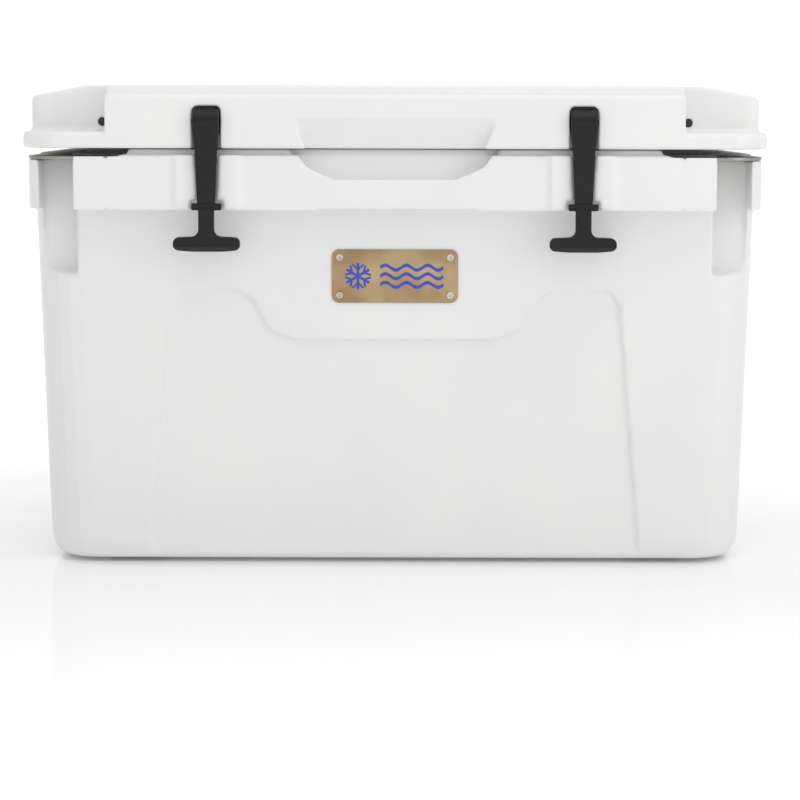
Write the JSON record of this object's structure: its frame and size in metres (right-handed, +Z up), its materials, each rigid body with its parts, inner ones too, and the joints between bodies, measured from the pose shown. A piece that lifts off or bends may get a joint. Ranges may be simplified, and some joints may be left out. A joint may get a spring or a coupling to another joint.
{
  "type": "cooler chest",
  "caption": "Rotomoulded insulated cooler chest with a hinged lid, rubber T-latches, padlock plates, a metal badge and a screw-in drain plug.",
  "frame": {"origin": "on the ground under the middle of the closed chest's bounding box", "axes": "+X to the chest's right seen from the front and along its longest side, front and latches towards -Y, +Z up"},
  "size_m": [0.706, 0.437, 0.4582],
  "materials": {
    "shell": "satin",
    "foam": "matte",
    "plug": "matte",
    "drain_plastic": "satin",
    "rubber": "satin",
    "stainless": "satin",
    "badge_metal": "satin",
    "rivet_metal": "satin"
  },
  "bodies": {
    "tub": {"body_foam": "foam", "body_fill_plug": "plug", "drain_fitting": "drain_plastic", "drain_gasket": "rubber", "badge_plate": "badge_metal", "body_shell_bottom": "shell", "body_shell_floor": "shell", "body_shell_front": "shell", "body_shell_grip": "shell", "body_shell_rear": "shell", "body_shell_end_left": "shell", "body_shell_end_right": "shell", "body_shell_corner_left": "shell", "body_shell_corner_right": "shell", "lock_plate_left": "stainless", "lock_plate_screw_left_1": "stainless", "lock_plate_screw_left_2": "stainless", "hinge_pin_left": "stainless", "lock_plate_right": "stainless", "lock_plate_screw_right_1": "stainless", "lock_plate_screw_right_2": "stainless", "hinge_pin_right": "stainless", "badge_rivet_1": "rivet_metal", "foot_1": "rubber", "badge_rivet_2": "rivet_metal", "foot_2": "rubber", "badge_rivet_3": "rivet_metal", "foot_3": "rubber", "badge_rivet_4": "rivet_metal", "foot_4": "rubber"},
    "lid": {"lid_foam": "foam", "lid_gasket": "rubber", "lid_fill_plug_left": "plug", "lid_fill_plug_right": "plug", "lid_shell_deck": "shell", "lid_shell_front": "shell", "lid_shell_grip": "shell", "lid_shell_corner_left": "shell", "lid_shell_corner_right": "shell", "latch_pin_left": "stainless", "latch_pin_right": "stainless"},
    "latch_left": {"latch_left": "rubber"},
    "latch_right": {"latch_right": "rubber"},
    "drain_stopper": {"drain_stopper": "rubber"},
    "drain_cap": {"drain_cap": "drain_plastic"}
  },
  "joints": [
    {"name": "lid_hinge", "type": "hinge", "parent": "tub", "child": "lid", "pos_m": [0, 0.207, 0.3967], "axis": [-1, 0, 0], "range_deg": [0, 100]},
    {"name": "latch_left_pivot", "type": "hinge", "parent": "lid", "child": "latch_left", "pos_m": [-0.1755, -0.206, 0.4247], "axis": [-1, 0, 0], "range_deg": [0, 105]},
    {"name": "latch_right_pivot", "type": "hinge", "parent": "lid", "child": "latch_right", "pos_m": [0.1755, -0.206, 0.4247], "axis": [-1, 0, 0], "range_deg": [0, 105]},
    {"name": "drain_slide", "type": "slide", "parent": "tub", "child": "drain_stopper", "axis": [1, 0, 0], "range_m": [0, 0.012]},
    {"name": "drain_turn", "type": "hinge", "parent": "drain_stopper", "child": "drain_cap", "pos_m": [0.3243, 0, 0.074], "axis": [1, 0, 0], "range_deg": [0, 1080]}
  ],
  "couplings": [
    {"joint": "drain_turn", "follows": "drain_slide", "rad_per_m": 1570.8}
  ]
}
